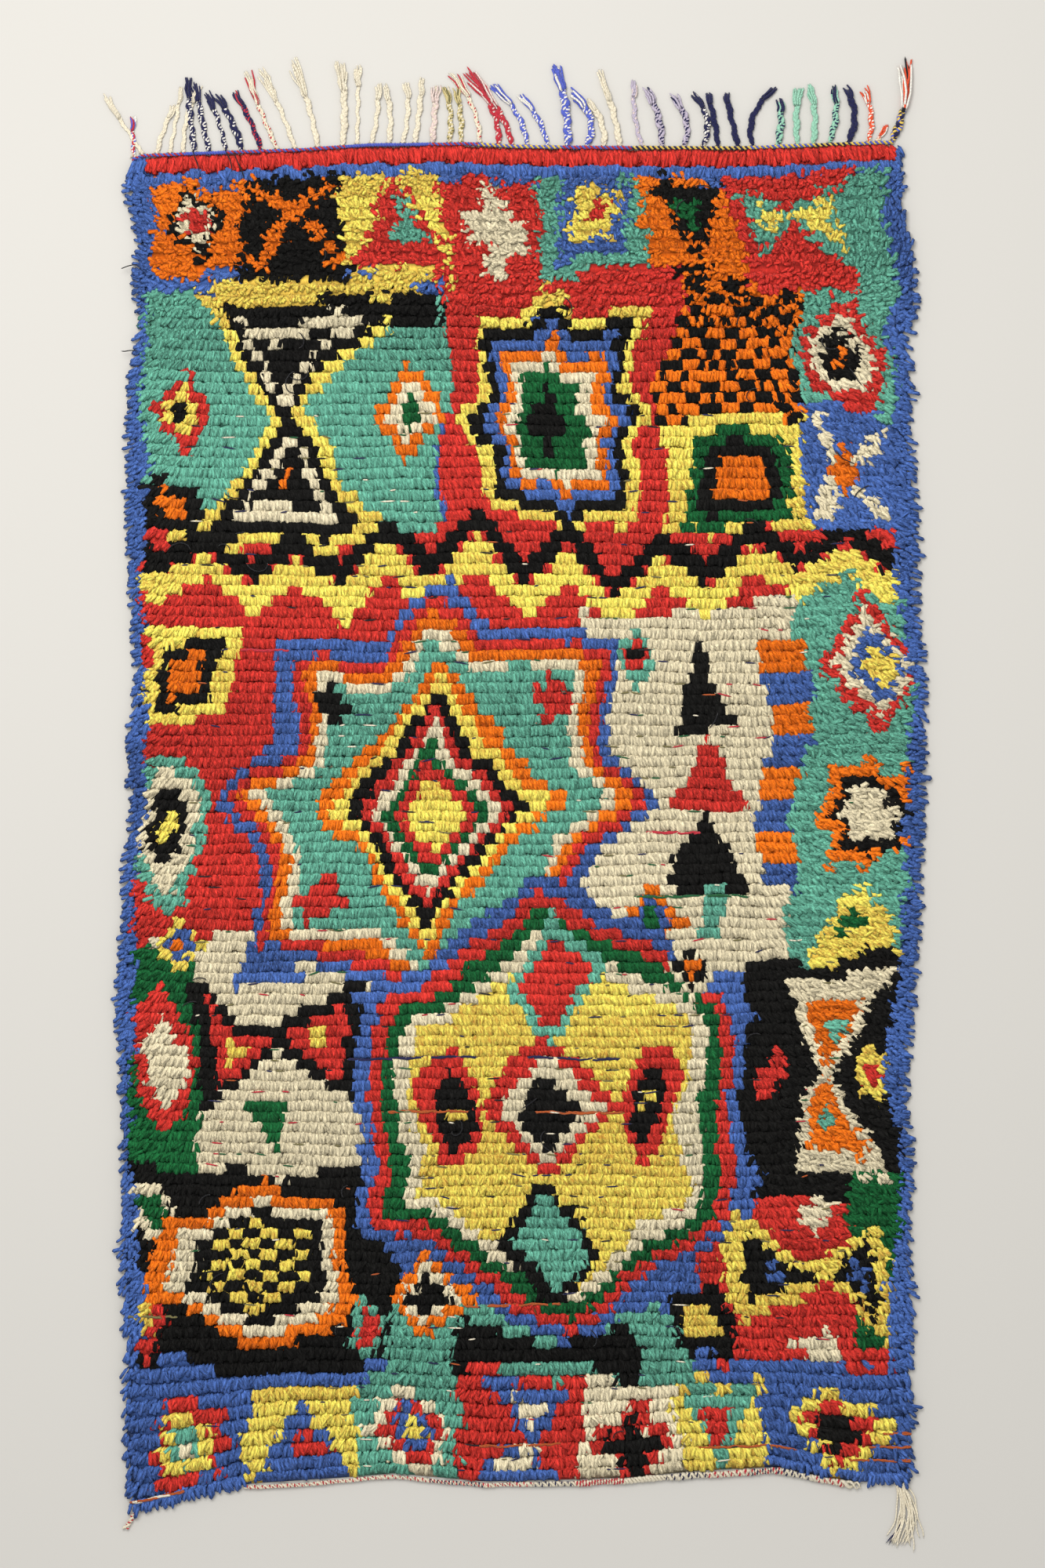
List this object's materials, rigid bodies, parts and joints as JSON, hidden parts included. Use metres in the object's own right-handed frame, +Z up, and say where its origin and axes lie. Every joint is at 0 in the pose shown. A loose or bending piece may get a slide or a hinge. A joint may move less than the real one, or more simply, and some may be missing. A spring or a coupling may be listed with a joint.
{
  "type": "azilal rug",
  "caption": "Long knotted pile rug lying flat, with an uneven outline, bright blocks and lozenges, twined ends and a fringe of plaited warp ends.",
  "frame": {"origin": "middle of the knotted body's underside, on the floor", "axes": "+X across the rug to the right as in the picture, +Y along the rug towards the fringe, +Z up out of the pile"},
  "size_m": [1.1813, 2.1362, 0.016],
  "materials": {
    "pile": "dull soft yarn pile in many colours, mostly blue, red, teal, yellow and black",
    "heading": "dull yarn twined in blue, yellow and red",
    "plait": "dull plaited yarn, mostly cream, some navy, blue, red and mint",
    "closing": "dull cream yarn twined with red and navy flecks",
    "tassel": "loose cream warp yarn with a little navy",
    "twist": "twisted red and cream yarn"
  },
  "bodies": {
    "root": {"rug_body": "pile", "heading_cord": "heading", "fringe": "plait", "closing_cord": "closing", "corner_tassel": "tassel", "corner_twist": "twist"}
  },
  "joints": []
}
